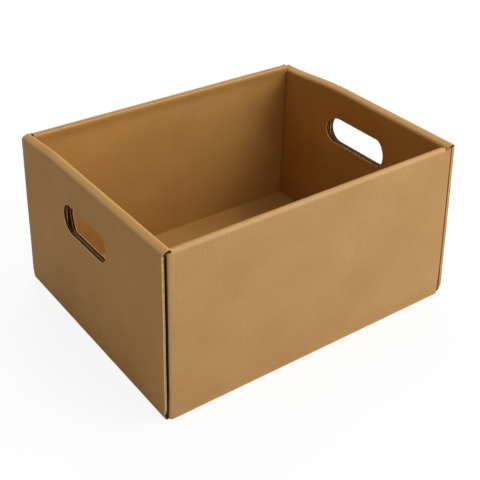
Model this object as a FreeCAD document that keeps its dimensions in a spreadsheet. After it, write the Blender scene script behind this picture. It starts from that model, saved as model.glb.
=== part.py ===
"""An open tray box folded from one die-cut blank of corrugated board.

Frame: origin at the middle of the underside, +X along the length, +Z up, millimetres.
Every wall is double. A wall stands up from the floor, turns over a narrow rim and comes
down inside to the floor, where its tabs lock into slots. The two end walls also hold the
corner flaps of the long walls between their outer and inner plies.
One quarter of the tray is built at +X, +Y, and mirrored twice.
"""
import FreeCAD, Part
import os

import Sketcher

# Driving dimensions, in millimetres
SIZES = {
    "outside_length": 390.0,
    "outside_width": 312.0,
    "outside_height": 200.0,
    "board": 3.2,
    "inner_bend": 0.6,
    "end_wall_depth": 11.6,
    "long_wall_depth": 8.0,
    "long_wall_drop": 4.0,
    "play": 0.4,
    "flap_gap": 1.6,
    "flap_length": 100.0,
    "hand_hole_length": 105.0,
    "hand_hole_height": 35.0,
    "hand_hole_level": 141.0,
    "tab_length": 60.0,
    "tab_taper": 2.0,
    "end_tab_place": 80.0,
    "long_tab_place": 95.0,
}

# A corner nearer than this to an axis lies on it
ON_AXIS = 1e-9

# Expressions on those cells, used by more than one panel
HALF_LENGTH = "(Sizes.outside_length / 2)"
HALF_WIDTH = "(Sizes.outside_width / 2)"
TOP = "Sizes.outside_height"
BOARD = "Sizes.board"
OUTER_BEND = "(Sizes.inner_bend + Sizes.board)"
PLAY = "Sizes.play"
LONG_TOP = "(Sizes.outside_height - Sizes.long_wall_drop)"
INNER_FOOT = f"({BOARD} + {PLAY})"
END_INSIDE = f"({HALF_LENGTH} - Sizes.end_wall_depth)"
LONG_INSIDE = f"({HALF_WIDTH} - Sizes.long_wall_depth)"
FLAP_FACE = f"({HALF_LENGTH} - {BOARD} - Sizes.flap_gap)"
LONG_RIM_END = f"({END_INSIDE} - {PLAY})"
TAB_HALF = "(Sizes.tab_length / 2)"


def make_sheet(doc):
    """Put the driving dimensions in a sheet, one named cell each."""
    sheet = doc.addObject("Spreadsheet::Sheet", "Sizes")
    for row, (name, value) in enumerate(SIZES.items(), start=1):
        sheet.set(f"A{row}", name.replace("_", " "))
        sheet.set(f"B{row}", str(value))
        sheet.setAlias(f"B{row}", name)
    doc.recompute()
    return sheet


def origin_plane(body, role):
    """Return the body's own origin plane with this role."""
    return next(item for item in body.Origin.OriginFeatures if item.Role == role)


def new_sketch(body, name, role, lift=None):
    """Start a sketch on an origin plane, lifted off it by an expression if one is given."""
    sketch = body.newObject("Sketcher::SketchObject", name)
    sketch.AttachmentSupport = [(origin_plane(body, role), "")]
    sketch.MapMode = "FlatFace"
    if lift:
        sketch.setExpression("AttachmentOffset.Base.z", lift)
    return sketch


def quarter_arc(start, end, turn):
    """Return the quarter circle from start to end, turning left (+1) or right (-1)."""
    chord = end - start
    centre = (start + end) / 2 + FreeCAD.Vector(-chord.y, chord.x, 0) * (turn / 2)
    first, last = (start, end) if turn > 0 else (end, start)
    circle = Part.Circle(centre, FreeCAD.Vector(0, 0, 1), (start - centre).Length)
    return Part.ArcOfCircle(circle, circle.parameter(first), circle.parameter(last))


def draw_outline(sketch, steps):
    """Draw a closed outline and tie each corner to its expressions.

    Each step is (x, y) for a straight edge from the corner before it, or (x, y, turn)
    for a quarter bend, which turns left (+1) or right (-1). The last corner joins the first.
    """
    sheet = sketch.Document.Sizes
    corners = []
    for step in steps:
        x, y = (sheet.evalExpression(expression) for expression in step[:2])
        corners.append(FreeCAD.Vector(x, y, 0))
    edges, heads, tails = [], [], []
    for index, step in enumerate(steps):
        start, end = corners[index - 1], corners[index]
        turn = step[2] if len(step) == 3 else 0
        edges.append(quarter_arc(start, end, turn) if turn else Part.LineSegment(start, end))
        heads.append(1 if turn >= 0 else 2)
        tails.append(2 if turn >= 0 else 1)
    sketch.addGeometry(edges, False)
    for index, corner in enumerate(corners):
        after = (index + 1) % len(corners)
        sketch.addConstraint(Sketcher.Constraint("Coincident", index, tails[index], after, heads[after]))
        tie_corner(sketch, index, tails[index], "X", corner.x, steps[index][0])
        tie_corner(sketch, index, tails[index], "Y", corner.y, steps[index][1])
        if len(steps[index]) == 3:
            radius = abs(corner.x - corners[index - 1].x)
            level = sketch.addConstraint(Sketcher.Constraint("Radius", index, radius))
            across = f"abs(({steps[index][0]}) - ({steps[index - 1][0]}))"
            sketch.setExpression(f"Constraints[{level}]", across)


def tie_corner(sketch, edge, end, axis, value, expression):
    """Hold one corner on the axis, or at its own distance from the origin."""
    if abs(value) < ON_AXIS:
        axis_line = -2 if axis == "X" else -1
        sketch.addConstraint(Sketcher.Constraint("PointOnObject", edge, end, axis_line))
        return
    level = sketch.addConstraint(Sketcher.Constraint("Distance" + axis, -1, 1, edge, end, value))
    sketch.setExpression(f"Constraints[{level}]", expression)


def pad(body, sketch, name, length, reverse=False):
    """Give a sketch its depth."""
    feature = body.newObject("PartDesign::Pad", name)
    feature.Profile = sketch
    feature.Reversed = reverse
    feature.setExpression("Length", length)
    body.Document.recompute()


def pocket(body, sketch, name, reverse):
    """Cut a sketch right through, and stop if nothing was cut."""
    before = body.Shape.Volume
    feature = body.newObject("PartDesign::Pocket", name)
    feature.Profile = sketch
    feature.Type = "ThroughAll"
    feature.Reversed = reverse
    body.Document.recompute()
    if body.Shape.Volume >= before:
        raise RuntimeError(f"{name} cuts nothing")


def add_floor(body):
    """The floor panel, as far as the folds all round it."""
    sketch = new_sketch(body, "floor_outline", "XY_Plane")
    far_x = f"{HALF_LENGTH} - {OUTER_BEND}"
    far_y = f"{HALF_WIDTH} - {OUTER_BEND}"
    draw_outline(sketch, [("0", "0"), (far_x, "0"), (far_x, far_y), ("0", far_y)])
    pad(body, sketch, "floor_panel", BOARD)


def add_outer_ply(body, name, role, face, top, length, reverse):
    """The fold at the floor and the outer ply of one wall, up to its rim."""
    sketch = new_sketch(body, name + "_section", role)
    draw_outline(sketch, [
        (f"{face} - {OUTER_BEND}", "0"),
        (face, OUTER_BEND, 1),
        (face, f"{top} - {OUTER_BEND}"),
        (f"{face} - {BOARD}", f"{top} - {OUTER_BEND}"),
        (f"{face} - {BOARD}", OUTER_BEND),
        (f"{face} - {OUTER_BEND}", BOARD, -1),
    ])
    pad(body, sketch, name + "_outer_ply", length, reverse)


def add_rim(body, name, role, face, inside, top, length, reverse):
    """The rim of one wall: two creases with a flat strip between them."""
    sketch = new_sketch(body, name + "_rim_section", role)
    crease = f"{top} - {OUTER_BEND}"
    draw_outline(sketch, [
        (face, crease),
        (f"{face} - {OUTER_BEND}", top, 1),
        (f"{inside} + {OUTER_BEND}", top),
        (inside, crease, 1),
        (f"{inside} + {BOARD}", crease),
        (f"{inside} + {OUTER_BEND}", f"{top} - {BOARD}", -1),
        (f"{face} - {OUTER_BEND}", f"{top} - {BOARD}"),
        (f"{face} - {BOARD}", crease, -1),
    ])
    pad(body, sketch, name + "_rim", length, reverse)


def add_inner_ply(body, name, role, lift, top, far, tab_place, reverse):
    """The ply that comes down inside the wall, with the tab that locks into the floor."""
    sketch = new_sketch(body, name + "_inner_outline", role, lift)
    near_end = f"{tab_place} - {TAB_HALF}"
    far_end = f"{tab_place} + {TAB_HALF}"
    draw_outline(sketch, [
        ("0", INNER_FOOT),
        (near_end, INNER_FOOT),
        (f"{near_end} + Sizes.tab_taper", PLAY),
        (f"{far_end} - Sizes.tab_taper", PLAY),
        (far_end, INNER_FOOT),
        (far, INNER_FOOT),
        (far, f"{top} - {OUTER_BEND}"),
        ("0", f"{top} - {OUTER_BEND}"),
    ])
    pad(body, sketch, name + "_inner_ply", BOARD, reverse)


def add_end_wall(body):
    """The end wall: its outer ply and rim run the full width of the tray."""
    add_outer_ply(body, "end_wall", "XZ_Plane", HALF_LENGTH, TOP, HALF_WIDTH, True)
    add_rim(body, "end_wall", "XZ_Plane", HALF_LENGTH, END_INSIDE, TOP, HALF_WIDTH, True)
    far = f"{LONG_INSIDE} - {PLAY}"
    add_inner_ply(body, "end_wall", "YZ_Plane", END_INSIDE, TOP, far, "Sizes.end_tab_place", False)


def add_long_wall(body):
    """The long wall: lower than the end wall, its rim stops at the end wall's rim."""
    fold_start = f"{FLAP_FACE} - {OUTER_BEND}"
    add_outer_ply(body, "long_wall", "YZ_Plane", HALF_WIDTH, LONG_TOP, fold_start, False)
    add_rim(body, "long_wall", "YZ_Plane", HALF_WIDTH, LONG_INSIDE, LONG_TOP, LONG_RIM_END, False)
    far = f"{FLAP_FACE} - {BOARD} - {PLAY}"
    lift = f"-({LONG_INSIDE})"
    add_inner_ply(body, "long_wall", "XZ_Plane", lift, LONG_TOP, far, "Sizes.long_tab_place", True)


def add_corner_flap(body):
    """The flap folded off the long wall's end, between the two plies of the end wall."""
    sketch = new_sketch(body, "corner_flap_section", "XY_Plane", OUTER_BEND)
    flap_end = f"{HALF_WIDTH} - Sizes.flap_length"
    draw_outline(sketch, [
        (LONG_RIM_END, HALF_WIDTH),
        (LONG_RIM_END, f"{HALF_WIDTH} - {BOARD}"),
        (f"{FLAP_FACE} - {OUTER_BEND}", f"{HALF_WIDTH} - {BOARD}"),
        (f"{FLAP_FACE} - {BOARD}", f"{HALF_WIDTH} - {OUTER_BEND}", -1),
        (f"{FLAP_FACE} - {BOARD}", flap_end),
        (FLAP_FACE, flap_end),
        (FLAP_FACE, f"{HALF_WIDTH} - {OUTER_BEND}"),
        (f"{FLAP_FACE} - {OUTER_BEND}", HALF_WIDTH, 1),
    ])
    pad(body, sketch, "corner_flap", f"{TOP} - 2 * {OUTER_BEND} - {PLAY}")


def cut_tab_slot(body, name, low, high):
    """One floor slot, with play all round the tab."""
    sketch = new_sketch(body, name + "_outline", "XY_Plane")
    draw_outline(sketch, [low, (high[0], low[1]), high, (low[0], high[1])])
    pocket(body, sketch, name, True)


def cut_tab_slots(body):
    """The floor slots for the end wall's tab and the long wall's tab."""
    reach = f"{TAB_HALF} + {PLAY}"
    cut_tab_slot(
        body, "end_tab_slot",
        (f"{END_INSIDE} - {PLAY}", f"Sizes.end_tab_place - ({reach})"),
        (f"{END_INSIDE} + {BOARD} + {PLAY}", f"Sizes.end_tab_place + ({reach})"),
    )
    cut_tab_slot(
        body, "long_tab_slot",
        (f"Sizes.long_tab_place - ({reach})", f"{LONG_INSIDE} - {PLAY}"),
        (f"Sizes.long_tab_place + ({reach})", f"{LONG_INSIDE} + {BOARD} + {PLAY}"),
    )


def cut_hand_hole(body):
    """Half of the round-ended hand hole, through both plies of the end wall."""
    sketch = new_sketch(body, "hand_hole_outline", "YZ_Plane")
    straight = "(Sizes.hand_hole_length - Sizes.hand_hole_height) / 2"
    reach = "Sizes.hand_hole_length / 2"
    level = "Sizes.hand_hole_level"
    low = f"{level} - Sizes.hand_hole_height / 2"
    high = f"{level} + Sizes.hand_hole_height / 2"
    draw_outline(sketch, [
        ("0", low),
        (straight, low),
        (reach, level, 1),
        (straight, high, 1),
        ("0", high),
    ])
    pocket(body, sketch, "hand_hole", True)


def mirror_whole(body, name, role):
    """Mirror everything so far across one origin plane, and make that the result."""
    feature = body.newObject("PartDesign::Mirrored", name)
    feature.TransformMode = "Whole shape"
    feature.MirrorPlane = (origin_plane(body, role), [""])
    body.Tip = feature
    body.Document.recompute()


def build_tray(doc):
    """The whole folded blank, one piece of board."""
    body = doc.addObject("PartDesign::Body", "folded_tray")
    body.Label = "folded_tray"
    add_floor(body)
    cut_tab_slots(body)
    add_end_wall(body)
    add_long_wall(body)
    add_corner_flap(body)
    cut_hand_hole(body)
    mirror_whole(body, "both_ends", "YZ_Plane")
    mirror_whole(body, "both_sides", "XZ_Plane")
    return body


def check_model(doc, pieces):
    """Stop if any object failed, or a piece is not one valid solid."""
    for item in doc.Objects:
        if {"Invalid", "Error"} & set(item.State):
            raise RuntimeError(f"{item.Name} failed: {item.State}")
    for piece in pieces:
        shape = piece.Shape
        if shape.isNull() or not shape.isValid() or len(shape.Solids) != 1:
            raise RuntimeError(f"{piece.Label} is not one valid solid")


def main():
    doc = FreeCAD.newDocument("tray_box")
    make_sheet(doc)
    pieces = [build_tray(doc)]
    doc.recompute()
    check_model(doc, pieces)
    os.makedirs("parts", exist_ok=True)
    for piece in pieces:
        piece.Shape.exportStep(f"parts/{piece.Label}.step")
        box = piece.Shape.BoundBox
        print(f"{piece.Label}: {box.XLength:.1f} x {box.YLength:.1f} x {box.ZLength:.1f} mm,"
              f" {piece.Shape.Volume / 1000:.1f} cm3, {len(piece.Shape.Faces)} faces")


main()
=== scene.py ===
# %% [markdown]
# # A tray box of brown corrugated board
#
# The real object is one sheet of corrugated board. It is cut and creased flat, then folded up:
# each wall stands up from the floor, turns over a narrow rim and comes down again inside.
# The measured solid already has the right size. This lesson gives it the thin things that a
# solid leaves out: the soft roll of each crease, the open ends of the flutes, walls that are
# not quite flat, and a paper surface.
#
# We load that solid first, because everything else has to fit inside its box.

# %% Load the measured solid
import math

import bpy
from mathutils import Matrix, Vector, noise


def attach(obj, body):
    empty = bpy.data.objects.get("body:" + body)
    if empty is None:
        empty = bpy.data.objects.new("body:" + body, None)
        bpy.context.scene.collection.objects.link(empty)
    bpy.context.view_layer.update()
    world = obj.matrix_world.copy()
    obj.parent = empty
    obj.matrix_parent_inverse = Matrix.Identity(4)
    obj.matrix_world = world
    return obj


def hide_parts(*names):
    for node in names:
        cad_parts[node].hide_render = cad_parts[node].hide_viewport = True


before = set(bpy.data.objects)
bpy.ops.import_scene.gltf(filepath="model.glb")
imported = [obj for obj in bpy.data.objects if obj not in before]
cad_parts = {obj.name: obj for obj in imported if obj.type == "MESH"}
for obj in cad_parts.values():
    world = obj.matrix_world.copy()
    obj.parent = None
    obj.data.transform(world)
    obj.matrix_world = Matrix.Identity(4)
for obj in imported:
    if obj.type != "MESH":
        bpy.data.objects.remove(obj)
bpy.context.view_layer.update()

# %% [markdown]
# ## Camera
#
# A camera is best set before any modelling, since each shape is then judged from the right
# place. The tray is seen from in front and to the left, from well above the rim. Here the
# camera is built from three angles, so the view can be read from the numbers: azimuth turns
# it round the tray, elevation lifts it, and roll tips the picture.

# %% Set the camera
azimuth, elevation, roll = (math.radians(angle) for angle in (-35.80, 32.70, 0.42))
camera_distance = 1.1162
aim_right, aim_up = 0.0059, 0.0543
frame_width_px, focal_px, sensor_mm = 480, 908.3, 36.0

backward = Vector((
    math.sin(azimuth) * math.cos(elevation),
    -math.cos(azimuth) * math.cos(elevation),
    math.sin(elevation),
))
level_right = Vector((0, 0, 1)).cross(backward).normalized()
level_up = backward.cross(level_right)
camera_right = level_right * math.cos(roll) + level_up * math.sin(roll)
camera_up = level_up * math.cos(roll) - level_right * math.sin(roll)

camera_data = bpy.data.cameras.new("camera")
camera_data.sensor_width = sensor_mm
camera_data.lens = focal_px / frame_width_px * sensor_mm
camera = bpy.data.objects.new("camera", camera_data)
bpy.context.scene.collection.objects.link(camera)
camera.matrix_world = Matrix((camera_right, camera_up, backward)).transposed().to_4x4()
camera.location = backward * camera_distance + camera_right * aim_right + camera_up * aim_up
bpy.context.scene.camera = camera
print("camera at", tuple(round(c, 3) for c in camera.location), "lens", round(camera_data.lens, 1), "mm")

# %% [markdown]
# ## The sheet in section
#
# A board is 3.2 mm thick, and its middle surface is all that has to be drawn: both liners
# lie half a board away from it. In section each wall is a walk: a run, a crease, a run, a
# crease, and so on. Every crease turns a quarter circle to the left, so a list of the runs
# says everything. This is how a carton maker thinks too, and it also gives the place of
# each point on the flat blank, which the paper's grain will need later.

# %% Board and creases
mm = 0.001
board = 3.2 * mm
crease_radius = 2.2 * mm
crease_length = crease_radius * math.pi / 2
half_length, half_width, top = 195 * mm, 156 * mm, 200 * mm
fold = 3.8 * mm
foot_gap = 0.4 * mm
wall_foot = board + foot_gap
end_rim_flat, long_rim_flat = 4.0 * mm, 0.4 * mm
long_drop = 4.0 * mm

floor_x, floor_y = half_length - fold, half_width - fold
hair = 1e-6  # metres: places closer together than this are the same place


def wall_walk(height, rim_flat):
    """The runs and creases of one double wall, from the floor's edge to its foot inside."""
    return [
        ("crease", crease_length),
        ("run", height - 2 * fold),
        ("crease", crease_length),
        ("run", rim_flat),
        ("crease", crease_length),
        ("run", height - fold - wall_foot),
        ("run", wall_foot - foot_gap),
    ]


def follow(walk, start, distance):
    """Where a walk has got to, and the way it heads, after this distance."""
    place, heading = Vector(start), 0.0
    for kind, length in walk:
        step = min(distance, length)
        ahead = Vector((math.cos(heading), math.sin(heading)))
        if kind == "run":
            place = place + ahead * step
        else:
            centre = place + crease_radius * Vector((-ahead.y, ahead.x))
            heading += step / crease_radius
            place = centre + crease_radius * Vector((math.sin(heading), -math.cos(heading)))
        distance -= step
        if distance <= 0:
            break
    return place, heading


def marks(walk):
    """The distances at which the runs and creases of a walk end."""
    ends, total = [0.0], 0.0
    for _, length in walk:
        total += length
        ends.append(total)
    return ends


end_walk = wall_walk(top, end_rim_flat)
long_walk = wall_walk(top - long_drop, long_rim_flat)
end_marks, long_marks = marks(end_walk), marks(long_walk)
print("end wall is", round(end_marks[-1] / mm, 1), "mm of board, long wall",
      round(long_marks[-1] / mm, 1), "mm")

# %% [markdown]
# ## Points, shared along the creases
#
# The whole tray is one sheet, so a wall has to use the same points as the floor where the
# two meet. Points are therefore kept in one store and looked up by place: the second panel
# that asks for a place gets the first one's point. For each point the store keeps the side
# that faces out (the normal), the place on the flat blank, and how strongly it is creased.

# %% A store for the middle surface
places, normals, flats, creased, layers = [], [], [], [], []  # one entry for each point
known = {}
quads = []


def point(place, normal, flat, crease, layer):
    """The number of the point at this place, made if it is new."""
    key = tuple(round(c / mm, 3) for c in place)
    if key not in known:
        known[key] = len(places)
        places.append(Vector(place))
        normals.append(Vector(normal).normalized())
        flats.append(flat)
        creased.append(crease)
        layers.append(layer)
    return known[key]


def quad(a, b, c, d):
    """Add a four-sided face, turned so that it faces out."""
    across = (places[c] - places[a]).cross(places[d] - places[b])
    quads.append((a, b, c, d) if across.dot(normals[a]) > 0 else (d, c, b, a))


def grid(rows, columns, make, left_out=None):
    """Fill a panel with faces. make gives the point of a row and column value."""
    for low, high in zip(rows, rows[1:]):
        for near, far in zip(columns, columns[1:]):
            if left_out and left_out((low + high) / 2, (near + far) / 2):
                continue
            quad(make(low, near), make(low, far), make(high, far), make(high, near))


def spread(first, last, step):
    """Evenly spaced values from first to last, about a step apart."""
    count = max(1, round(abs(last - first) / step))
    return [first + (last - first) * i / count for i in range(count + 1)]


def join(*parts):
    """Several lists of values as one, without repeats."""
    values = sorted(value for part in parts for value in part)
    return [v for i, v in enumerate(values) if i == 0 or v - values[i - 1] > hair]


def both_signs(values):
    return join(values, [-v for v in values])


# %% [markdown]
# ## Where the faces are small
#
# Flat board needs few faces. They are small in three places: round the hand holes, along
# the creases, and near the ends of the rims, where the board droops a little.

# %% Rows and columns of the panels
hole_length, hole_height, hole_level = 105 * mm, 35 * mm, 141 * mm
cut_holes = {-1: (98 * mm, 5.5 * mm), 1: (108 * mm, 2.5 * mm)}  # left and right: length, shift to the back
block_half, block_low, block_high = 72 * mm, 105 * mm, 177 * mm
tab_half, tab_taper = 30 * mm, 2 * mm
end_tab, long_tab = 80 * mm, 95 * mm
slot_play = 0.4 * mm
slot_near, slot_far = 183.0 * mm, 187.0 * mm
long_slot_near, long_slot_far = 147.6 * mm, 151.6 * mm
long_rim_end, long_wall_end = 183.0 * mm, 186.4 * mm
end_ply_end = 147.6 * mm

columns_y = both_signs(join(
    spread(0, block_half, 4 * mm),
    spread(block_half, 110.4 * mm, 9.6 * mm),
    [49.6 * mm, 50 * mm, 110 * mm, 110.4 * mm],
    spread(110.4 * mm, 138 * mm, 7 * mm),
    spread(138 * mm, end_ply_end, 2.4 * mm),
    spread(end_ply_end, floor_y, 2.3 * mm),
    [long_slot_far],
))
columns_x = both_signs(join(
    spread(0, 64.6 * mm, 8 * mm),
    [65 * mm, 125 * mm],
    spread(64.6 * mm, 125.4 * mm, 8 * mm),
    spread(125.4 * mm, 165 * mm, 8 * mm),
    spread(165 * mm, long_rim_end, 3 * mm),
    [long_rim_end, long_wall_end, slot_far, floor_x],
))


def ply_rows(first, last, levels):
    """Distances along a straight ply: its two ends, and the given levels from its start."""
    return join([first, last], [first + level for level in levels if 0 < level < last - first - hair])


def rows_round(block, rows):
    """The rows of a ply that has a block of its own rows in it."""
    return join(block, [row for row in rows if row < block[0] - hair or row > block[-1] + hair])


near_crease = [2 * mm, 4 * mm, 7 * mm, 11 * mm, 16 * mm, 22 * mm]
print("columns:", len(columns_x), "along the length,", len(columns_y), "across the width")

# %% [markdown]
# ## Floor
#
# The floor is a plain panel with eight slots, which hold the tabs of the inner plies. The
# slots are simply faces that are left out, so their edges are real edges.

# %% Lay the floor


def in_slot(y, x):
    x, y = abs(x), abs(y)
    at_end = slot_near < x < slot_far and abs(y - end_tab) < tab_half + slot_play
    at_side = long_slot_near < y < long_slot_far and abs(x - long_tab) < tab_half + slot_play
    return at_end or at_side


def floor_point(y, x):
    return point((x, y, board / 2), (0, 0, -1), (x, y), 0.0, "floor")


grid(columns_y, columns_x, floor_point, in_slot)
print("floor:", len(quads), "faces")

# %% [markdown]
# ## End walls
#
# Each end wall is one walk swept across the width. The hand hole goes through both of its
# plies. A rounded hole doesn't fit a grid of squares, so a block of squares is left out and
# rings are drawn instead: the outermost ring is the block's border, the innermost one is
# the outline of the hole, and the rings between them change from one to the other. The two
# holes were not cut quite alike: each has its own length, and sits a little to the back.

# %% Sweep the end walls
hole_rings = 5


def hole_outline(share):
    """A point of a quarter of the hole's outline, from its end (0) to its middle (1)."""
    radius, straight = hole_height / 2, (hole_length - hole_height) / 2
    distance = share * (radius * math.pi / 2 + straight)
    if distance < radius * math.pi / 2:
        angle = distance / radius
        return straight + radius * math.cos(angle), radius * math.sin(angle)
    return radius * math.pi / 2 + straight - distance, radius


def block_border(rows, columns):
    """The border of the left-out block as a closed ring of (row, column) values."""
    low, high, near, far = rows[0], rows[-1], columns[0], columns[-1]
    return ([(low, c) for c in columns[:-1]] + [(r, far) for r in rows[:-1]]
            + [(high, c) for c in reversed(columns[1:])] + [(r, near) for r in reversed(rows[1:])])


def ring_hole(rows, columns, centre_row, make, cut):
    """Fill a block with rings of faces round the hand hole, which has this length and shift."""
    border = block_border(rows, columns)
    half_rows = (rows[-1] - centre_row, centre_row - rows[0])
    half_columns = columns[-1]
    cut_length, cut_shift = cut
    rings = []
    for ring in range(hole_rings + 1):
        blend = (ring / hole_rings) ** 1.4
        made = []
        for row, column in border:
            up, side = row - centre_row, column
            reach = half_rows[0] if up >= 0 else half_rows[1]
            if abs(abs(side) - half_columns) < hair:
                share = abs(up) / (reach + half_columns)
            else:
                share = (reach + half_columns - abs(side)) / (reach + half_columns)
            hole_side, hole_up = hole_outline(share)
            hole_side = math.copysign(hole_side * cut_length / hole_length, side) + cut_shift
            mixed = Vector((math.copysign(hole_up, up), hole_side)).lerp(Vector((up, side)), blend)
            made.append(make(centre_row + mixed.x, mixed.y))
        rings.append(made)
    for inner, outer in zip(rings, rings[1:]):
        for i in range(len(border)):
            after = (i + 1) % len(border)
            quad(inner[i], inner[after], outer[after], outer[i])


def wall_point(walk, edge, side, along_x):
    """A function that gives a wall's point for a distance along its walk and a column."""
    ends = marks(walk)
    layer_names = ["fold", "outer", "rim", "rim", "rim", "inner", "inner"]

    def make(distance, across):
        place, heading = follow(walk, (edge, board / 2), distance)
        out, up = math.sin(heading), -math.cos(heading)
        part = next(i for i, end in enumerate(ends[1:]) if distance <= end + 1e-9)
        crease = math.sin(2 * heading) ** 2
        if along_x:
            return point((across, side * place.x, place.y), (0, side * out, up),
                         (across, side * (edge + distance)), crease, layer_names[part])
        return point((side * place.x, across, place.y), (side * out, 0, up),
                     (side * (edge + distance), across), crease, layer_names[part])

    return make


def crease_rows(ends, part, count=8):
    return spread(ends[part], ends[part + 1], (ends[part + 1] - ends[part]) / count)


def add_tabs(make, foot, tip, centre, wall_columns):
    """Two locking tabs under a ply, a little narrower at the tip."""
    for sign in (-1, 1):
        first, last = sorted((sign * (centre - tab_half), sign * (centre + tab_half)))
        columns = [c for c in wall_columns if first - hair < c < last + hair]
        for a, b in zip(columns, columns[1:]):
            narrow = [centre * sign + (c - centre * sign) * (1 - tab_taper / tab_half) for c in (a, b)]
            quad(make(foot, a), make(foot, b), make(tip, narrow[1]), make(tip, narrow[0]))


def build_end_wall(side):
    make = wall_point(end_walk, floor_x, side, along_x=False)
    ends = end_marks
    wide = join(columns_y, [-half_width, half_width, -154 * mm, 154 * mm])
    outer_height, inner_height = end_walk[1][1], end_walk[5][1]
    block = [c for c in columns_y if abs(c) <= block_half + hair]
    outer_block = spread(ends[1] + block_low - fold, ends[1] + block_high - fold, 4 * mm)
    top_inner = ends[5]
    inner_block = spread(top_inner + (top - fold - block_high), top_inner + (top - fold - block_low), 4 * mm)
    outer_levels = near_crease + [outer_height - v for v in near_crease] + spread(22 * mm, 95 * mm, 10 * mm)
    inner_levels = near_crease + [inner_height - v for v in near_crease] + spread(98 * mm, 170 * mm, 9 * mm)
    outer_rows = rows_round(outer_block, ply_rows(ends[1], ends[2], outer_levels))
    inner_rows = rows_round(inner_block, ply_rows(ends[5], ends[6], inner_levels))

    def outer_hole(row, column):
        return outer_block[0] < row < outer_block[-1] and abs(column) < block_half

    def inner_hole(row, column):
        return inner_block[0] < row < inner_block[-1] and abs(column) < block_half

    grid(crease_rows(ends, 0), wide, make)
    grid(outer_rows, wide, make, outer_hole)
    ring_hole(outer_block, block, ends[1] + hole_level - fold, make, cut_holes[side])
    for part, count in ((2, 8), (3, 10), (4, 8)):
        grid(crease_rows(ends, part, count), wide, make)
    inner_columns = [c for c in columns_y if abs(c) <= end_ply_end + hair]
    grid(inner_rows, inner_columns, make, inner_hole)
    ring_hole(inner_block, block, top_inner + (top - fold - hole_level), make, cut_holes[side])
    add_tabs(make, ends[6], ends[7], end_tab, columns_y)


before = len(quads)
for side in (-1, 1):
    build_end_wall(side)
print("end walls:", len(quads) - before, "faces")

# %% [markdown]
# ## Long walls and corner flaps
#
# A long wall is the same kind of walk. At each of its two upright ends the board turns the
# corner and goes in between the plies of the end wall. Its rim stops just short of the end
# wall's rim, and stands 4 mm lower.

# %% Sweep the long walls
flap_run = 96.2 * mm
flap_above, flap_below = 3.6 * mm, 3.2 * mm  # how far a flap reaches past the straight part of its wall


def build_long_wall(side):
    make = wall_point(long_walk, floor_y, side, along_x=True)
    ends = long_marks
    wide = [c for c in columns_x if abs(c) <= long_wall_end + hair]
    rim = [c for c in columns_x if abs(c) <= long_rim_end + hair]
    levels = near_crease + spread(22 * mm, 165 * mm, 11 * mm)
    height = long_walk[1][1]
    outer_rows = ply_rows(ends[1], ends[2], levels + [height - v for v in near_crease])
    inner_rows = ply_rows(ends[5], ends[6], levels + [long_walk[5][1] - v for v in near_crease[:3]])
    grid(crease_rows(ends, 0), wide, make)
    grid(outer_rows, wide, make)
    for part, count in ((2, 10), (3, 1), (4, 12)):
        grid(crease_rows(ends, part, count), rim, make)
    grid(inner_rows, wide, make)
    add_tabs(make, ends[6], ends[7], long_tab, columns_x)
    for end in (-1, 1):
        build_flap(side, end, outer_rows)


def build_flap(side, end, wall_rows):
    """The flap off one end of a long wall, round the corner and into the end wall."""
    wall_y = floor_y + crease_radius
    first_row = long_marks[1]

    def make(row, distance):
        z = fold + row - first_row
        if distance < 0:
            place, heading = Vector((long_wall_end + distance, wall_y)), 0.0
        else:
            place, heading = follow([("crease", crease_length), ("run", flap_run)],
                                    (long_wall_end, -wall_y), distance)
            place.y = -place.y
        normal = (end * math.sin(heading), side * math.cos(heading), 0)
        crease = math.sin(2 * heading) ** 2
        layer = "outer" if distance <= 0 else "flap"
        return point((end * place.x, side * place.y, z), normal,
                     (end * (long_wall_end + distance), side * (floor_y + row)), crease, layer)

    turn = spread(0, crease_length, crease_length / 8)
    run = join(spread(crease_length, crease_length + 20 * mm, 5 * mm),
               spread(crease_length + 20 * mm, crease_length + flap_run, 16 * mm))
    tongue = wall_rows[-1] + flap_above
    foot = wall_rows[0] - flap_below
    rows = [foot] + wall_rows + [tongue]
    grid(rows, join(turn, run), make)
    grid([wall_rows[-1], tongue], [long_rim_end - long_wall_end, 0.0], make)


before = len(quads)
for side in (-1, 1):
    build_long_wall(side)
print("long walls and flaps:", len(quads) - before, "faces;", len(places), "points in all")

# %% [markdown]
# ## Letting the board settle
#
# A folded board is never as true as a drawing. The four top corners have moved in a little,
# and the walls follow them. The rims of the end walls tip over to the left and droop at the
# back, where nothing holds them up, and the corners under them are tucked down with them.
# The front wall has slipped to the right, so its seam gapes at one end and is shut at the
# other. The rims of the long walls have swelled a little, because the fold is stiffer than
# the wall. Round the hand hole, where a hand squeezes them, the two plies of an end wall lie
# close together. Each of these is a small move of the same sheet, so each gets a function of
# its own, and their sum says how far a point goes. Slow noise adds the last unevenness.

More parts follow.
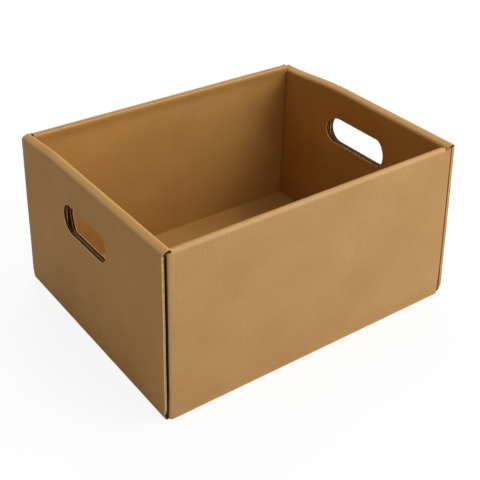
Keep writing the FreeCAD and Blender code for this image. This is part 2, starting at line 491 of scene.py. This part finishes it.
# %% Settle the sheet
corner_moves = {  # how far each top corner has gone in, along the length and the width
    (-1, -1): (6.0 * mm, 4.9 * mm),
    (1, -1): (6.0 * mm, 6.0 * mm),
    (-1, 1): (6.0 * mm, 6.0 * mm),
    (1, 1): (0.0 * mm, 6.0 * mm),
}
back_droop = {-1: (5.0 * mm, 80 * mm), 1: (7.5 * mm, 120 * mm)}  # left and right: how much, over what length
rim_tilt, corner_gap = 2.6 * mm, 1.0 * mm
front_slip, extra_slip_right, left_creep = 1.1 * mm, 0.4, 1.6 * mm
edge_recess, fold_sharpness, foot_pull = 3.0 * mm, 0.85 * mm, 0.85
rim_lean, rim_bulge = 0.8 * mm, 1.6 * mm
tuck_from, tuck_share = 185 * mm, 0.8
bow_inner, bow_outer = 4.4 * mm, 0.5 * mm
unevenness, waves_per_metre, other_ply = 0.5 * mm, 9, 7
end_plies, between_end_plies, long_plies = 184 * mm, 187 * mm, 149 * mm  # where the walls' plies start


def ease(value):
    """Go from 0 to 1 smoothly."""
    value = min(1.0, max(0.0, value))
    return value * value * (3 - 2 * value)


def rise(value, start, length):
    """Go smoothly from 0 at the start to 1, over this length."""
    return ease((value - start) / length)


def fall(value, end, length):
    """Go smoothly from 1 down to 0 at the end, over this length."""
    return ease((end - value) / length)


def ramp(value, start, length):
    """Go evenly from 0 at the start to 1, over this length."""
    return min(1, max(0, (value - start) / length))


def lean_in(x, y, z, layer):
    """The four top corners lean in, and the walls follow them."""
    move = Vector()
    for (side_x, side_y), (along, across) in corner_moves.items():
        share_x = 1 + side_x * x / (half_length - board / 2)
        share_y = 1 + side_y * y / half_width
        move += Vector((-side_x * along, -side_y * across, 0)) * (share_x * share_y / 4 * z / top)
    return move


def droop(x, y, z, layer):
    """The end walls' rims droop at the back and tip to the left. Their inner plies draw back a little."""
    if layer == "rim":
        in_end_wall = abs(x) > long_rim_end + hair
    else:
        in_end_wall = layer in ("outer", "inner") and abs(x) > end_plies
    in_long_wall = layer != "rim" and abs(y) > long_plies and abs(x) < long_wall_end + hair
    if not in_end_wall or in_long_wall:
        return Vector()
    near_top = max(0, z - 150 * mm) / (50 * mm)
    outward = ramp(abs(x), 185 * mm, 8.4 * mm)
    most, reach = back_droop[-1 if x < 0 else 1]
    down = most * rise(y, half_width - reach, reach) + rim_tilt * (outward if x < 0 else 1 - outward) ** 2
    back = corner_gap * rise(abs(y), 125 * mm, 22 * mm) * fall(z, 194 * mm, 12 * mm) if layer == "inner" else 0
    return Vector((0, -math.copysign(back, y), -down * near_top))


def slip(x, y, z, layer):
    """The front wall slips to the right with its flaps. At the foot its left end creeps out."""
    wall_end = long_rim_end if layer == "rim" else long_wall_end
    in_front_wall = y < -long_plies and abs(x) < wall_end + hair
    if not in_front_wall and not (layer == "flap" and y < 0):
        return Vector()
    most = front_slip * (1 + extra_slip_right * ease(x / half_length))
    to_right = most * rise(z, 0, 40 * mm) * rise(-y, 143 * mm, 7 * mm)
    at_left_end = rise(-x, 150 * mm, 30 * mm) * rise(-y, 146 * mm, 8 * mm)
    to_left = left_creep * (1 - z / top) * rise(z, 0, 4 * mm) * at_left_end
    return Vector((to_right - to_left, 0, 0))


def press_foot(x, y, z, layer):
    """The long walls' floor folds are pressed sharp, and the end walls' edges stand back at the foot."""
    move = Vector()
    if layer == "outer" and x < -190 * mm and y < -135 * mm:
        move.y += edge_recess * (1 - z / top) * (-y - 135 * mm) / (21 * mm)
    if layer == "fold" and abs(y) > floor_y and abs(x) < long_wall_end + hair:
        turned = 2 * (abs(y) - floor_y) * (fold - z) / crease_radius ** 2
        push = fold_sharpness * turned ** 4
        move += Vector((0, math.copysign(push, y), -push))
    if layer in ("outer", "fold") and abs(x) > floor_x and abs(y) > floor_y:
        move.y -= math.copysign((abs(y) - floor_y) * foot_pull * fall(z, 14 * mm, 14 * mm), y)
    return move


def swell_rim(x, y, z, layer):
    """The long walls' rims swell inwards, and the back corners are tucked under the end rims."""
    move = Vector()
    in_long_wall = layer in ("outer", "inner") and abs(y) > 148.5 * mm and abs(x) < long_wall_end + hair
    if y > 0 and z > tuck_from and (layer == "flap" or in_long_wall):
        move.z -= (z - tuck_from) * tuck_share * rise(abs(x), long_rim_end, 3.4 * mm)
    if abs(y) > 147 * mm and abs(x) < long_rim_end + hair:
        at_rim = rise(z, top - long_drop - 16 * mm, 14 * mm)
        toward_inside = ramp(-abs(y), -154.4 * mm, 4.8 * mm)
        move.y -= math.copysign((rim_lean + rim_bulge * toward_inside) * at_rim, y)
    return move


def bow_at_hole(x, y, z, layer):
    """Round the hand hole the inner ply bows out to the outer one, which gives way a little."""
    if abs(x) <= end_plies or abs(y) >= 60 * mm or layer not in ("outer", "inner"):
        return Vector()
    share = fall(abs(y), 58 * mm, 24 * mm) * rise(z, 40 * mm, 84 * mm) * fall(z, 192 * mm, 34 * mm)
    most = bow_inner if abs(x) < between_end_plies else bow_outer
    return Vector((math.copysign(most * share, x), 0, 0))


def waver(x, y, z, layer):
    """Slow noise pushes the walls in, less near the floor and the rims."""
    shift = other_ply if layer == "inner" else 0
    wave = noise.noise(Vector((x * waves_per_metre, y * waves_per_metre, z * waves_per_metre + shift)))
    push = abs(unevenness * wave * rise(z, 0, 30 * mm) * fall(z, top, 30 * mm))
    if abs(x) > end_plies:
        return Vector((-math.copysign(push, x), 0, 0))
    if abs(y) > 148 * mm:
        return Vector((0, -math.copysign(push, y), 0))
    return Vector()


def settle(place, layer):
    """How far this point of the sheet moves."""
    x, y, z = place
    move = Vector()
    for cause in (lean_in, droop, slip, press_foot, swell_rim, bow_at_hole, waver):
        move += cause(x, y, z, layer)
    return move


moves = [settle(place, layer) for place, layer in zip(places, layers)]
print("largest move:", round(max(m.length for m in moves) / mm, 1), "mm")

# %% [markdown]
# ## From surface to board
#
# The sheet gets its thickness without a Solidify modifier, because the cut
# edges need a form of their own: two thin liners with a hollow between them. So each point
# becomes two skins, and each open edge becomes a channel. Round the hand holes the channel
# is deep, and its hollow faces are painted near-black as painted shade. The upright ends of
# the end walls were pressed flat by the knife, so there it is shallow. The gaping seam next
# to such an end gets the same painted shade, and is the darkest line of the tray.
# The rims of the long walls were scored before they were folded, and keep a thin groove.

# %% Find the cut edges
liner = 0.5 * mm
crushed_depth, open_depth = 0.4 * mm, 2.2 * mm
crushed_by = 0.9 * mm
corner_edge = half_width - 0.1 * mm
of_liner, of_cut, of_fluting_and_shade, of_painted_hollow_shade = range(4)  # the materials, in the order the mesh has them


def is_crushed(index):
    """Whether the knife has pressed this cut edge flat: the upright ends of the end walls."""
    return layers[index] == "outer" and abs(places[index].y) > corner_edge


def in_painted_seam_shade(corners, side):
    """Whether a face lies in the gaping seam at the left end, where hardly any light gets out. These faces get
    the near-black hollow material, which is painted shade.
    """
    centre = sum((places[i] for i in corners), Vector()) / 4
    facing = sum((normals[i] for i in corners), Vector()) / 4
    if centre.x > 0 or abs(centre.y) < 140 * mm:
        return False
    if side > 0:
        return any(layers[i] == "flap" for i in corners) and abs(facing.x) > 0.83
    return centre.x < -192 * mm and abs(centre.y) > 150 * mm and centre.z < top - fold


edge_faces = {}
for face, corners in enumerate(quads):
    for a, b in zip(corners, corners[1:] + corners[:1]):
        edge_faces.setdefault((min(a, b), max(a, b)), []).append((face, a, b))
cut_edges = [owners[0][1:] for owners in edge_faces.values() if len(owners) == 1]

inward = {}
for a, b in cut_edges:
    into = normals[a].cross(places[b] - places[a]).normalized()
    for corner in (a, b):
        inward.setdefault(corner, []).append(into)
for corner, directions in inward.items():
    total = sum(directions, Vector())
    inward[corner] = total / max(0.3, 1 + directions[0].dot(directions[-1])) if len(directions) > 1 else total
print("cut edges:", len(cut_edges), "pieces")

# %% Give the sheet its thickness
groove_depth, groove_width, groove_tilt = 0.7 * mm, 0.5 * mm, math.radians(24)
vertices, faces, face_material, flat_of, crease_highlight_and_groove_shade_of, inside_of = [], [], [], [], [], []


def groove(index):
    """How deep the scored line along a long rim is here."""
    if layers[index] != "rim" or abs(places[index].x) > long_rim_end + hair:
        return 0.0
    tilt = math.atan2(-normals[index].y * math.copysign(1, places[index].y), normals[index].z)
    return groove_depth * math.exp(-(((tilt - groove_tilt) * crease_radius / groove_width) ** 2))


# How much painted inside shade a point's face gets.
def insideness(index, offset):
    """1 on faces that look into the tray, 0 on faces that look out, and between on the rims."""
    if layers[index] in ("floor", "fold"):
        return 1.0 if offset < 0 else 0.0
    normal, place = normals[index], places[index]
    if abs(normal.x) > abs(normal.y):
        away = normal.x * place.x / half_length
    else:
        away = normal.y * place.y / half_width
    return ease(0.5 - away)


def add_vertex(index, offset, inset=0.0):
    """A vertex off a point of the middle surface, along its normal and into the sheet."""
    # This value makes creases paler, which is stretched paper and, on the rims' rolls, a painted highlight. In
    # the scored groove it goes below zero, which darkens the paper as painted shade.
    crease_highlight_and_groove_shade = creased[index]
    if offset > 0:
        offset -= groove(index)
        crease_highlight_and_groove_shade -= 2 * groove(index) / groove_depth
    elif is_crushed(index) and places[index].x < 0:
        offset += crushed_by
    place = places[index] + normals[index] * offset + moves[index]
    if inset:
        place = place + inward[index] * inset
    vertices.append(place)
    flat_of.append(flats[index])
    crease_highlight_and_groove_shade_of.append(crease_highlight_and_groove_shade)
    inside_of.append(insideness(index, offset))
    return len(vertices) - 1


outer_skin = [add_vertex(i, board / 2) for i in range(len(places))]
inner_skin = [add_vertex(i, -board / 2) for i in range(len(places))]
for corners in quads:
    faces.append(tuple(outer_skin[i] for i in corners))
    faces.append(tuple(inner_skin[i] for i in reversed(corners)))
    # Faces in the seam at the left end get the near-black hollow material: painted shade.
    face_material += [of_painted_hollow_shade if in_painted_seam_shade(corners, side) else of_liner for side in (1, -1)]

channel = {}
for index in inward:
    hollow = board / 2 - liner
    depth = crushed_depth if is_crushed(index) else open_depth
    channel[index] = [
        outer_skin[index],
        add_vertex(index, hollow),
        add_vertex(index, hollow, depth),
        add_vertex(index, -hollow, depth),
        add_vertex(index, -hollow),
        inner_skin[index],
    ]
# Along a cut the outer liner's face is pale. The three hollow faces are near-black painted shade, and the
# inner liner's face gets the fluting's dark tone, also painted shade.
for a, b in cut_edges:
    for step in range(5):
        faces.append((channel[a][step], channel[a][step + 1], channel[b][step + 1], channel[b][step]))
        pale = step == 0 or is_crushed(a)
        face_material.append(of_cut if pale else of_fluting_and_shade if step == 4 else of_painted_hollow_shade)
print("board:", len(vertices), "vertices,", len(faces), "faces")

# %% [markdown]
# ## Flutes in the cut edges
#
# Between the liners runs a third sheet in waves, the fluting. The flutes lie across the
# blank, so a cut across them shows waves and a cut along them shows one straight line. The
# place on the flat blank tells us where each wave is: its crests are 5.8 mm apart along the
# blank's length. Only the cuts that can be seen get this ribbon.

# %% Run the fluting along the cut edges
flute_pitch = 5.8 * mm
flute_thickness = 0.32 * mm
flute_step = 0.6 * mm
flute_recess, crushed_recess = 0.5 * mm, 0.1 * mm
flute_swing = board / 2 - liner - flute_thickness / 2


def is_seen(index):
    """Whether the cut edge at this point can be seen on the made-up tray."""
    x, y, z = places[index]
    at_hole = layers[index] in ("outer", "inner") and abs(y) < block_half and z > 100 * mm
    at_corner = abs(y) > corner_edge and abs(x) > slot_far
    return at_hole or at_corner


following = {a: b for a, b in cut_edges}


def cut_runs():
    """Each seen cut edge as a chain of points, and whether the chain is closed."""
    seen = {a for a, b in cut_edges if is_seen(a) and is_seen(b)}
    arrivals = {following[a] for a in seen}
    chains = []
    starts = [a for a in seen if a not in arrivals]
    left = set(seen)
    while left:
        start = starts.pop() if starts else min(left)
        chain, current = [start], start
        while current in left:
            left.discard(current)
            current = following[current]
            chain.append(current)
        chains.append((chain, chain[0] == chain[-1]))
    return chains


def ribbon(chain, closed):
    """A thin wavy ribbon of fluting along one chain of points, as closed rings of four."""
    samples = []
    for a, b in zip(chain, chain[1:]):
        start, end = places[a] + moves[a], places[b] + moves[b]
        count = max(1, round((end - start).length / flute_step))
        for i in range(count):
            t = i / count
            samples.append((start.lerp(end, t), normals[a].lerp(normals[b], t).normalized(),
                            inward[a].lerp(inward[b], t), flats[a][0] * (1 - t) + flats[b][0] * t,
                            is_crushed(a)))
    if not closed:
        last = chain[-1]
        samples.append((places[last] + moves[last], normals[last], inward[last],
                        flats[last][0], is_crushed(last)))
    waves = [flute_swing * math.sin(2 * math.pi * flat / flute_pitch) for *_, flat, _ in samples]
    rings = []
    for i, (place, normal, into, flat, crushed) in enumerate(samples):
        before, after = i - 1, (i + 1) % len(samples)
        if not closed:
            before, after = max(0, i - 1), min(len(samples) - 1, i + 1)
        course = samples[after][0] - samples[before][0]
        slope = (waves[after] - waves[before]) / max(course.length, 1e-9)
        across = (normal - course.normalized() * slope).normalized() * (flute_thickness / 2)
        middle = place + normal * waves[i]
        ring = []
        near, far = (crushed_recess, crushed_depth) if crushed else (flute_recess, open_depth)
        for depth, sign in ((near, 1), (near, -1), (far, -1), (far, 1)):
            vertices.append(middle + into * depth + across * sign)
            flat_of.append((flat, 0.0))
            crease_highlight_and_groove_shade_of.append(0.0)
            inside_of.append(0.0)
            ring.append(len(vertices) - 1)
        rings.append(ring)
    return rings, [sample[-1] for sample in samples]


# The ribbons get the fluting's dark tone, partly painted shade. Crushed cuts get the pale cut paper.
ribbon_faces = len(faces)
for chain, closed in cut_runs():
    rings, crushed = ribbon(chain, closed)
    for one, two, pressed in zip(rings, rings[1:] + rings[:1] if closed else rings[1:], crushed):
        for i in range(4):
            j = (i + 1) % 4
            faces.append((one[i], one[j], two[j], two[i]))
            face_material.append(of_cut if pressed else of_fluting_and_shade)
    if not closed:
        faces.append(tuple(reversed(rings[0])))
        faces.append(tuple(rings[-1]))
        face_material += [of_fluting_and_shade, of_fluting_and_shade]
print("fluting:", len(faces) - ribbon_faces, "faces")

# %% [markdown]
# ## Kraft paper
#
# The outside of the board is kraft liner: brown paper of long fibres, matt, with slow
# clouds in its colour, short streaks, and a few darker flecks. The flutes under it show
# through as very faint bands. All of it is drawn on the flat blank's own coordinates, so
# the grain turns over each rim as it does on real board. A crease stretches the paper and
# makes it paler, and on the rolls of the rims this pale tint is also a painted highlight.
# The scored groove along a long rim is tinted darker, which is painted shade. The inside of
# the tray is painted a darker, richer brown as painted shade, so the mesh tells the material
# which side it is on.

# %% Nodes for paper


def new_material(name):
    material = bpy.data.materials.new(name)
    material.use_nodes = True
    nodes = material.node_tree.nodes
    nodes.clear()
    output = nodes.new("ShaderNodeOutputMaterial")
    shader = nodes.new("ShaderNodeBsdfPrincipled")
    material.node_tree.links.new(shader.outputs["BSDF"], output.inputs["Surface"])
    return material, shader


class Paper:
    """Short ways to add the nodes of one material."""

    def __init__(self, material):
        self.tree = material.node_tree
        self.blank = self.tree.nodes.new("ShaderNodeUVMap")
        self.blank.uv_map = "flat_blank"

    def link(self, source, target):
        self.tree.links.new(source, target)

    def grain(self, across, along, detail=3.0, roughness=0.5, shift=0.0):
        """Noise on the flat blank, with grains of this size in metres each way."""
        mapping = self.tree.nodes.new("ShaderNodeMapping")
        mapping.inputs["Scale"].default_value = (1 / across, 1 / along, 1)
        mapping.inputs["Location"].default_value = (shift, shift * 0.7, shift)
        self.link(self.blank.outputs["UV"], mapping.inputs["Vector"])
        cloud = self.tree.nodes.new("ShaderNodeTexNoise")
        cloud.inputs["Scale"].default_value = 1.0
        cloud.inputs["Detail"].default_value = detail
        cloud.inputs["Roughness"].default_value = roughness
        self.link(mapping.outputs["Vector"], cloud.inputs["Vector"])
        return cloud.outputs["Fac"]

    def reshape(self, value, low, high, to_low=0.0, to_high=1.0):
        """Stretch the part of a value between low and high."""
        node = self.tree.nodes.new("ShaderNodeMapRange")
        node.inputs["From Min"].default_value = low
        node.inputs["From Max"].default_value = high
        node.inputs["To Min"].default_value = to_low
        node.inputs["To Max"].default_value = to_high
        self.link(value, node.inputs["Value"])
        return node.outputs["Result"]

    def tint(self, colour, other, amount, way="MIX"):
        """Mix a colour with another by an amount that may vary."""
        node = self.tree.nodes.new("ShaderNodeMix")
        node.data_type = "RGBA"
        node.blend_type = way
        for value, socket in ((colour, node.inputs[6]), (other, node.inputs[7]), (amount, node.inputs[0])):
            if isinstance(value, bpy.types.NodeSocket):
                self.link(value, socket)
            elif isinstance(value, tuple):
                socket.default_value = (*value, 1.0)
            else:
                socket.default_value = value
        return node.outputs[2]

    def flutes(self):
        """Bands one flute apart, from 0 to 1."""
        split = self.tree.nodes.new("ShaderNodeSeparateXYZ")
        self.link(self.blank.outputs["UV"], split.inputs["Vector"])
        angle = self.combine("MULTIPLY", split.outputs["X"], 2 * math.pi / flute_pitch)
        wave = self.tree.nodes.new("ShaderNodeMath")
        wave.operation = "SINE"
        self.link(angle, wave.inputs[0])
        return self.reshape(wave.outputs["Value"], -1, 1)

    def combine(self, way, first, second):
        """One sum with two values."""
        node = self.tree.nodes.new("ShaderNodeMath")
        node.operation = way
        for value, socket in zip((first, second), node.inputs):
            if isinstance(value, bpy.types.NodeSocket):
                self.link(value, socket)
            else:
                socket.default_value = value
        return node.outputs["Value"]

    def stored(self, name):
        """A value that the mesh keeps for each of its points, from 0 to 1."""
        node = self.tree.nodes.new("ShaderNodeAttribute")
        node.attribute_name = name
        return node.outputs["Fac"]

    def relief(self, height, distance, strength, under=None):
        """Bump of this height in metres."""
        node = self.tree.nodes.new("ShaderNodeBump")
        node.inputs["Distance"].default_value = distance
        node.inputs["Strength"].default_value = strength
        self.link(height, node.inputs["Height"])
        if under is not None:
            self.link(under, node.inputs["Normal"])
        return node.outputs["Normal"]


# %% Kraft liner
kraft = (0.45, 0.255, 0.094)
kraft_light = (0.505, 0.30, 0.120)
kraft_dark = (0.40, 0.215, 0.072)
# darker flecks, and the painted shade of the scored groove
fleck_and_groove_shade_brown = (0.25, 0.125, 0.045)
# pale fibres, and the paler creases, which on the rims' rolls are a painted highlight
pale_fibre_and_highlight = (0.60, 0.41, 0.23)
# painted shade: multiplies the colour of faces that look into the tray
painted_inside_shade = (1.0, 0.935, 0.69)

liner_material, shader = new_material("kraft_liner")
paper = Paper(liner_material)
clouds = paper.reshape(paper.grain(0.09, 0.07, 2.0), 0.3, 0.7)
mottle = paper.reshape(paper.grain(0.006, 0.005, 3.0, shift=3.1), 0.3, 0.7)
streaks = paper.reshape(paper.grain(0.0045, 0.0009, 4.0, 0.6, shift=7.7), 0.35, 0.65)
fine_fibres = paper.grain(0.0012, 0.0004, 3.0, 0.6, shift=1.3)
flecks = paper.reshape(paper.grain(0.0022, 0.0010, 1.0, shift=5.5), 0.70, 0.76)
pale_fibres = paper.reshape(paper.grain(0.0035, 0.0007, 1.0, shift=9.1), 0.69, 0.75)
bands = paper.flutes()

colour = paper.tint(kraft_dark, kraft_light, clouds)
colour = paper.tint(kraft, colour, 0.55)
colour = paper.tint(colour, kraft_dark, paper.reshape(mottle, 0, 1, 0.0, 0.22))
colour = paper.tint(colour, kraft_light, paper.reshape(streaks, 0, 1, 0.0, 0.25))
colour = paper.tint(colour, kraft_dark, paper.reshape(bands, 0, 1, 0.0, 0.10))
colour = paper.tint(colour, fleck_and_groove_shade_brown, paper.reshape(flecks, 0, 1, 0.0, 0.35))
colour = paper.tint(colour, pale_fibre_and_highlight, paper.reshape(pale_fibres, 0, 1, 0.0, 0.30))
# Creases get paler: stretched paper, and on the rims' rolls a painted highlight. Where the value is below
# zero, in the scored groove, the paper gets darker as painted shade.
colour = paper.tint(colour, pale_fibre_and_highlight, paper.reshape(paper.stored("creased"), 0, 1, 0.0, 0.38))
colour = paper.tint(colour, fleck_and_groove_shade_brown, paper.reshape(paper.stored("creased"), 0, -1, 0.0, 0.45))
# Faces that look into the tray get a darker, richer brown: painted shade.
colour = paper.tint(colour, painted_inside_shade, paper.stored("inside"), "MULTIPLY")
paper.link(colour, shader.inputs["Base Color"])
paper.link(paper.reshape(mottle, 0, 1, 0.62, 0.78), shader.inputs["Roughness"])
shader.inputs["Specular IOR Level"].default_value = 0.15
fibre_relief = paper.relief(fine_fibres, 0.00008, 0.5)
streak_relief = paper.relief(streaks, 0.00006, 0.5, fibre_relief)
paper.link(paper.relief(bands, 0.00004, 1.0, streak_relief), shader.inputs["Normal"])
print("kraft liner:", len(liner_material.node_tree.nodes), "nodes")

# %% [markdown]
# A cut shows the inside of the paper: paler, dusty and fibrous. The fluting is a thinner
# and darker paper than the liner, and its dark brown tone is also painted shade of the flute
# openings. The hollow behind it is darker still: a near-black sheet of painted shade, which
# also paints the gaping seam at the left end.

# %% Cut edge and fluting


def torn_paper(name, colours, grain, bump, roughness, specular):
    """Paper at a cut: mottled between two colours, with a torn relief."""
    material, shader = new_material(name)
    paper = Paper(material)
    torn = paper.reshape(paper.grain(*grain), 0.35, 0.65)
    paper.link(paper.tint(*colours, torn), shader.inputs["Base Color"])
    paper.link(paper.relief(torn, *bump), shader.inputs["Normal"])
    shader.inputs["Roughness"].default_value = roughness
    shader.inputs["Specular IOR Level"].default_value = specular
    print(name, "runs from", colours[0], "to", colours[1])
    return material


cut_material = torn_paper(
    "cut_edge", colours=((0.48, 0.31, 0.155), (0.68, 0.49, 0.29)),
    grain=(0.0011, 0.0009, 4.0, 0.65), bump=(0.00015, 0.7), roughness=0.9, specular=0.2)
# Fluting: its own darker paper, and in its dark brown also painted shade of the flute openings.
fluting_and_shade_material = torn_paper(
    "fluting", colours=((0.10, 0.048, 0.014), (0.19, 0.098, 0.036)),
    grain=(0.0009, 0.0009, 3.0, 0.6, 2.2), bump=(0.0001, 0.6), roughness=0.92, specular=0.2)
# The hollow's near-black is painted shade, deep in the flutes and in the seam at the left end.
painted_hollow_shade_material = torn_paper(
    "flute_hollow_painted_shade", colours=((0.075, 0.034, 0.010), (0.13, 0.064, 0.022)),
    grain=(0.0014, 0.0009, 3.0, 0.6, 4.4), bump=(0.0001, 0.6), roughness=0.95, specular=0.1)

# %% [markdown]
# ## One mesh
#
# The lists now become one mesh, because the tray is one sheet. The place of each vertex on
# the flat blank goes into a UV map, and the creases and the inside go along as values of the
# points. The walls are shaded smooth, so the creases look round, but the cut edges stay sharp.
# This mesh takes the place of the plain solid, so it has to stay within the solid's box.

# %% Make the tray
mesh = bpy.data.meshes.new("kraft_tray")
mesh.from_pydata([tuple(v) for v in vertices], [], faces)
for material in (liner_material, cut_material, fluting_and_shade_material, painted_hollow_shade_material):
    mesh.materials.append(material)
mesh.polygons.foreach_set("material_index", face_material)
blank_map = mesh.uv_layers.new(name="flat_blank")
for loop in mesh.loops:
    blank_map.data[loop.index].uv = flat_of[loop.vertex_index]
# The crease values carry the paler creases with their painted highlight and the groove's painted shade. The
# inside values carry the painted inside shade.
for name, values in (("creased", crease_highlight_and_groove_shade_of), ("inside", inside_of)):
    mesh.attributes.new(name, "FLOAT", "POINT").data.foreach_set("value", values)
mesh.polygons.foreach_set("use_smooth", [True] * len(mesh.polygons))
mesh.set_sharp_from_angle(angle=math.radians(40))
mesh.validate()
mesh.update()
tray = bpy.data.objects.new("kraft_tray", mesh)
bpy.context.scene.collection.objects.link(tray)
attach(tray, "root")
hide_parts("folded_tray")
print("tray:", sum(len(p.vertices) - 2 for p in mesh.polygons), "triangles")

# %% [markdown]
# ## Floor and light
#
# The tray stands on plain white. The floor is an ordinary pale surface to the light and the
# tray, and looks white to the camera, so no extra lamp has to burn it out. Part of what the
# camera sees there is still the lit floor, which keeps a soft shadow under the tray.
#
# Five broad lamps light the tray, and each has one job. The key lamp comes from high on the
# right and leaves the inside of the right wall in shade. The front lamp lights the front
# wall, the back lamp reaches the inside of the back wall and the rims, and the top lamp the
# floor of the tray. The left wall gets a weak, warm light from low on its own side.

# %% Floor and background
floor_half, floor_sink = 6.0, 0.2 * mm


def add_plain_floor():
    corners = [(x * floor_half, y * floor_half, 0) for x, y in ((-1, -1), (1, -1), (1, 1), (-1, 1))]
    mesh = bpy.data.meshes.new("floor")
    mesh.from_pydata(corners, [], [(0, 1, 2, 3)])
    floor = bpy.data.objects.new("floor", mesh)
    floor.location.z = -floor_sink
    bpy.context.scene.collection.objects.link(floor)
    material = bpy.data.materials.new("white_floor")
    material.use_nodes = True
    tree = material.node_tree
    tree.nodes.clear()
    output = tree.nodes.new("ShaderNodeOutputMaterial")
    lit = tree.nodes.new("ShaderNodeBsdfDiffuse")
    lit.inputs["Color"].default_value = (0.65, 0.65, 0.65, 1)
    shaded = tree.nodes.new("ShaderNodeBsdfDiffuse")
    shaded.inputs["Color"].default_value = (0.95, 0.95, 0.95, 1)
    white = tree.nodes.new("ShaderNodeEmission")
    white.inputs["Strength"].default_value = 1.0
    seen_white = tree.nodes.new("ShaderNodeMixShader")
    seen_white.inputs["Fac"].default_value = 0.9
    pick = tree.nodes.new("ShaderNodeMixShader")
    tree.links.new(shaded.outputs[0], seen_white.inputs[1])
    tree.links.new(white.outputs[0], seen_white.inputs[2])
    tree.links.new(bright_rays(tree), pick.inputs["Fac"])
    tree.links.new(lit.outputs[0], pick.inputs[1])
    tree.links.new(seen_white.outputs[0], pick.inputs[2])
    tree.links.new(pick.outputs[0], output.inputs["Surface"])
    mesh.materials.append(material)
    return floor


def bright_rays(tree):
    """1 for rays that show the background: from the camera, off gloss, or through glass."""
    path = tree.nodes.new("ShaderNodeLightPath")
    total = path.outputs["Is Camera Ray"]
    for name in ("Is Glossy Ray", "Is Transmission Ray"):
        either = tree.nodes.new("ShaderNodeMath")
        either.operation = "MAXIMUM"
        tree.links.new(total, either.inputs[0])
        tree.links.new(path.outputs[name], either.inputs[1])
        total = either.outputs["Value"]
    return total


def set_background(ambient):
    world = bpy.data.worlds.new("studio")
    bpy.context.scene.world = world
    world.use_nodes = True
    tree = world.node_tree
    tree.nodes.clear()
    output = tree.nodes.new("ShaderNodeOutputWorld")
    soft = tree.nodes.new("ShaderNodeBackground")
    soft.inputs["Strength"].default_value = ambient
    white = tree.nodes.new("ShaderNodeBackground")
    white.inputs["Strength"].default_value = 1.0
    pick = tree.nodes.new("ShaderNodeMixShader")
    tree.links.new(bright_rays(tree), pick.inputs["Fac"])
    tree.links.new(soft.outputs[0], pick.inputs[1])
    tree.links.new(white.outputs[0], pick.inputs[2])
    tree.links.new(pick.outputs[0], output.inputs["Surface"])


add_plain_floor()
set_background(ambient=0.01)

# %% Lamps


def from_tray(azimuth, elevation, distance=3.0):
    """A place this far away, turned from the front to the right and lifted, in degrees."""
    turn, lift = math.radians(azimuth), math.radians(elevation)
    return (distance * math.sin(turn) * math.cos(lift), -distance * math.cos(turn) * math.cos(lift),
            distance * math.sin(lift))


def add_lamp(name, place, power, colour=(1, 1, 1), size=1.4, aim=(0, 0, 0.1)):
    """A square soft lamp at this place, turned towards the tray."""
    data = bpy.data.lights.new(name, "AREA")
    data.size = size
    data.energy = power
    data.color = colour
    lamp = bpy.data.objects.new(name, data)
    lamp.location = place
    lamp.rotation_euler = (Vector(aim) - Vector(place)).to_track_quat("-Z", "Y").to_euler()
    bpy.context.scene.collection.objects.link(lamp)
    return lamp


add_lamp("key", from_tray(60, 55), 41)
add_lamp("front", from_tray(30, 20), 44.5)
add_lamp("top", from_tray(0, 55), 16.5)
add_lamp("back", from_tray(150, 55), 54)
add_lamp("left_fill", from_tray(-88, 7), 21, colour=(1.0, 0.825, 0.55))
bpy.context.scene.view_settings.view_transform = "Standard"
print("lamps:", [lamp.name for lamp in bpy.data.lights])
